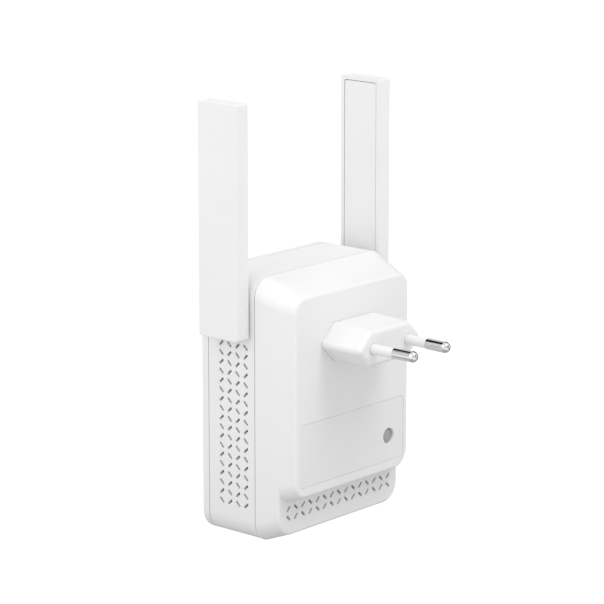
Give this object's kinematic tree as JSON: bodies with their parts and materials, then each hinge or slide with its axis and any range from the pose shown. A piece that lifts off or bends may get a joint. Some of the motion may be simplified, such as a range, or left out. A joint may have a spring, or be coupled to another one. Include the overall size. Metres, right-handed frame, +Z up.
{
  "type": "wifi range extender",
  "caption": "White plug-in wifi range extender with swinging antennas, vented sides, a recessed reset button and a mains plug.",
  "frame": {"origin": "middle of the plug's contact face, between the pins", "axes": "+Y out of the plug face into the wall socket, +Z up along the housing and its upright antennas"},
  "size_m": [0.0816, 0.0771, 0.1558],
  "materials": {
    "white_shell": "satin",
    "white_shaft": "satin",
    "pin_sleeve": "satin",
    "label_film": "matte",
    "button_grey": "matte",
    "nickel_pin": "polished",
    "spring_brass": "satin",
    "board_green": "satin",
    "antenna_board": "satin",
    "clear_pipe": "gloss",
    "insulating_film": "satin",
    "screw_steel": "satin",
    "ferrite": "matte",
    "copper_winding": "satin",
    "black_resin": "satin",
    "capacitor_can": "satin",
    "yellow_film": "satin",
    "resistor_body": "satin",
    "tinned_shield": "satin",
    "sink_aluminium": "satin",
    "thermal_pad": "matte",
    "led_lens": "gloss",
    "gold_pin": "polished",
    "coax_jacket": "satin"
  },
  "bodies": {
    "housing": {"board_coax_left": "coax_jacket", "board_coax_right": "coax_jacket", "board_link_pins": "gold_pin", "board_link_socket": "black_resin", "bridge_rectifier": "black_resin", "bulk_capacitors": "capacitor_can", "coax_plugs": "gold_pin", "crystal": "tinned_shield", "flash_chip": "black_resin", "front_cover": "white_shell", "fuse_resistor": "resistor_body", "heat_sink": "sink_aluminium", "hinge_washer_left": "screw_steel", "hinge_washer_right": "screw_steel", "inductors": "ferrite", "insulation_sheet": "insulating_film", "light_pipe": "clear_pipe", "main_board": "board_green", "main_board_screws": "screw_steel", "mains_choke": "ferrite", "mains_contact_left": "spring_brass", "mains_contact_right": "spring_brass", "memory_chip": "black_resin", "mid_housing": "white_shell", "output_capacitors": "capacitor_can", "pin_sleeve_left": "pin_sleeve", "pin_sleeve_right": "pin_sleeve", "plug_body": "white_shell", "plug_pin_left": "nickel_pin", "plug_pin_right": "nickel_pin", "power_board": "board_green", "power_board_screws": "screw_steel", "power_controller": "black_resin", "radio_chip": "black_resin", "radio_shield": "tinned_shield", "rating_label": "label_film", "rear_cover": "white_shell", "reset_switch": "black_resin", "safety_capacitor": "yellow_film", "status_led": "led_lens", "thermal_pad": "thermal_pad", "transformer_bobbin": "black_resin", "transformer_core": "ferrite", "transformer_winding": "copper_winding"},
    "antenna_right": {"antenna_shell_right": "white_shell", "antenna_cover_right": "white_shell", "antenna_element_right": "antenna_board", "hinge_shaft_right": "white_shaft", "hinge_clip_right": "screw_steel", "antenna_coax_right": "coax_jacket"},
    "antenna_left": {"antenna_shell_left": "white_shell", "antenna_cover_left": "white_shell", "antenna_element_left": "antenna_board", "hinge_shaft_left": "white_shaft", "hinge_clip_left": "screw_steel", "antenna_coax_left": "coax_jacket"},
    "reset_button": {"reset_button": "button_grey", "switch_plunger": "black_resin"}
  },
  "joints": [
    {"name": "antenna_right_swing", "type": "hinge", "parent": "housing", "child": "antenna_right", "pos_m": [0.0341, -0.0436, 0.0115], "axis": [1, 0, 0], "range_deg": [0, 180]},
    {"name": "antenna_left_swing", "type": "hinge", "parent": "housing", "child": "antenna_left", "pos_m": [-0.0341, -0.0436, 0.0115], "axis": [1, 0, 0], "range_deg": [0, 180]},
    {"name": "reset_button_press", "type": "slide", "parent": "housing", "child": "reset_button", "axis": [0, -1, 0], "range_m": [0, 0.0005], "stiffness_N_per_m": 800, "springref_m": -0.0006}
  ]
}
